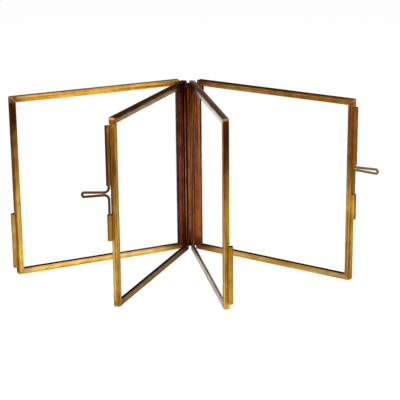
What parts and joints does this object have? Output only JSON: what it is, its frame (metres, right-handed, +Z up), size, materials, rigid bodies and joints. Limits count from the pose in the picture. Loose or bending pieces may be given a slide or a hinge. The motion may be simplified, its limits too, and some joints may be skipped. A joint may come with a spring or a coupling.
{
  "type": "folding picture frame",
  "caption": "Free-standing folding picture frame: square glazed brass leaves hinged on one spine, closing in pairs over a picture and locked by sliding wire bolts in edge tubes.",
  "frame": {"origin": "on the surface that the frame stands on, under the middle of its box when it is opened as in the picture", "axes": "+Z up, -Y towards the viewer between the two near leaves, +X to the viewer's right"},
  "size_m": [0.2276, 0.1205, 0.115],
  "materials": {
    "channel_brass": "antiqued, warm gold with brown tarnish towards the spine",
    "spine_brass": "antiqued, dark red-brown with copper and olive streaks",
    "tube_brass": "antiqued, brown gold",
    "wire": "drawn wire, antiqued",
    "glass": "clear, polished"
  },
  "bodies": {
    "near_left_leaf": {"near_left_top_rail": "channel_brass", "near_left_bottom_rail": "channel_brass", "near_left_hinge_stile": "spine_brass", "near_left_clasp_stile": "channel_brass", "near_left_glass": "glass", "near_left_middle_knuckle": "spine_brass", "near_left_end_knuckles": "spine_brass", "near_left_upper_tube": "tube_brass", "near_left_short_tube": "tube_brass", "centre_hinge_pin": "wire"},
    "far_left_leaf": {"far_left_top_rail": "channel_brass", "far_left_bottom_rail": "channel_brass", "far_left_hinge_stile": "spine_brass", "far_left_clasp_stile": "channel_brass", "far_left_glass": "glass", "far_left_end_knuckles": "spine_brass", "far_left_keeper_tube": "tube_brass", "left_hinge_pin": "wire"},
    "near_right_leaf": {"near_right_top_rail": "channel_brass", "near_right_bottom_rail": "channel_brass", "near_right_hinge_stile": "spine_brass", "near_right_clasp_stile": "channel_brass", "near_right_glass": "glass", "near_right_centre_knuckle": "spine_brass", "near_right_side_knuckle": "spine_brass", "near_right_keeper_tube": "tube_brass"},
    "far_right_leaf": {"far_right_top_rail": "channel_brass", "far_right_bottom_rail": "channel_brass", "far_right_hinge_stile": "spine_brass", "far_right_clasp_stile": "channel_brass", "far_right_glass": "glass", "far_right_end_knuckles": "spine_brass", "far_right_upper_tube": "tube_brass", "far_right_short_tube": "tube_brass", "right_hinge_pin": "wire"},
    "left_bolt": {"left_bolt": "wire"},
    "right_bolt": {"right_bolt": "wire"}
  },
  "joints": [
    {"name": "left_pair_hinge", "type": "hinge", "parent": "near_left_leaf", "child": "far_left_leaf", "pos_m": [-0.0111, 0.05758, 0], "axis": [0, 0, -1], "range_deg": [-43.4, 56.6]},
    {"name": "centre_hinge", "type": "hinge", "parent": "near_left_leaf", "child": "near_right_leaf", "pos_m": [-0.00724, 0.05653, 0], "axis": [0, 0, 1], "range_deg": [-30.6, 64.4]},
    {"name": "right_pair_hinge", "type": "hinge", "parent": "near_right_leaf", "child": "far_right_leaf", "pos_m": [-0.00338, 0.05758, 0], "axis": [0, 0, 1], "range_deg": [-44.9, 55.1]},
    {"name": "left_bolt_slide", "type": "slide", "parent": "near_left_leaf", "child": "left_bolt", "axis": [0, 0, 1], "range_m": [-0.00886, 0.0009]},
    {"name": "right_bolt_slide", "type": "slide", "parent": "far_right_leaf", "child": "right_bolt", "axis": [0, 0, 1], "range_m": [-0.01396, 0]}
  ]
}
